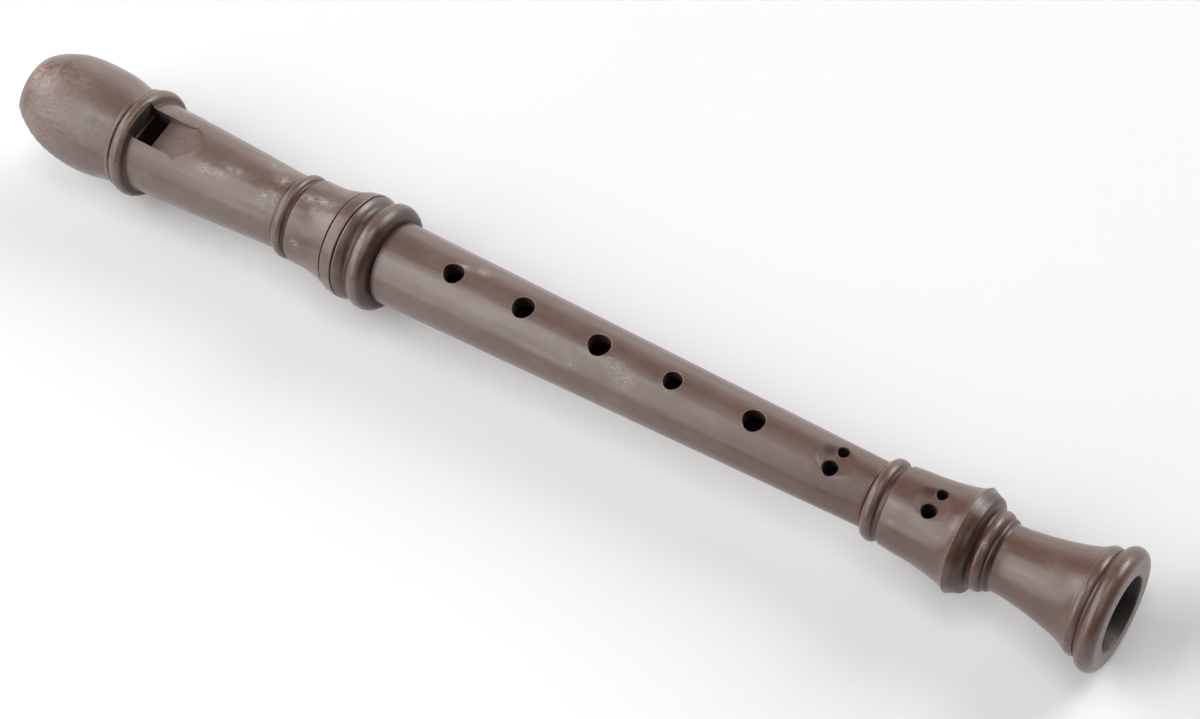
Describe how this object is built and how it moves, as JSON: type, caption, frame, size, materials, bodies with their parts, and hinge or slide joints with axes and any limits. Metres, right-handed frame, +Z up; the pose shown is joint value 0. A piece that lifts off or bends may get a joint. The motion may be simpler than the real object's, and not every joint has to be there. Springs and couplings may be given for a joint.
{
  "type": "soprano recorder",
  "caption": "Soprano recorder in three sections with a bulb-shaped beak, a windowed head joint, a tapering body with finger holes and a belled foot.",
  "frame": {"origin": "centre of the bounding box's bottom: the point on the table midway along the recorder, under its bore", "axes": "+X along the bore from the beak to the bell, +Z up through the window and the finger holes, +Y across"},
  "size_m": [0.325, 0.0316, 0.0316],
  "materials": {
    "brown_plastic": "semi-gloss, worn brown plastic",
    "cork": "matt cork lapping"
  },
  "bodies": {
    "body": {"middle_joint": "brown_plastic"},
    "head_turner": {"upper_lapping": "cork"},
    "head": {"beak_cap": "brown_plastic", "windway_block": "brown_plastic", "head_joint": "brown_plastic", "socket_band": "brown_plastic", "socket_ring": "brown_plastic"},
    "foot_turner": {"lower_lapping": "cork"},
    "foot": {"foot_joint": "brown_plastic"}
  },
  "joints": [
    {"name": "head_turn", "type": "hinge", "parent": "body", "child": "head_turner", "pos_m": [-0.055, 0, 0.0158], "axis": [1, 0, 0], "continuous": true},
    {"name": "head_pull", "type": "slide", "parent": "head_turner", "child": "head", "axis": [-1, 0, 0], "range_m": [0, 0.02]},
    {"name": "foot_turn", "type": "hinge", "parent": "body", "child": "foot_turner", "pos_m": [0.105, 0, 0.0158], "axis": [1, 0, 0], "continuous": true},
    {"name": "foot_pull", "type": "slide", "parent": "foot_turner", "child": "foot", "axis": [1, 0, 0], "range_m": [0, 0.0125]}
  ]
}
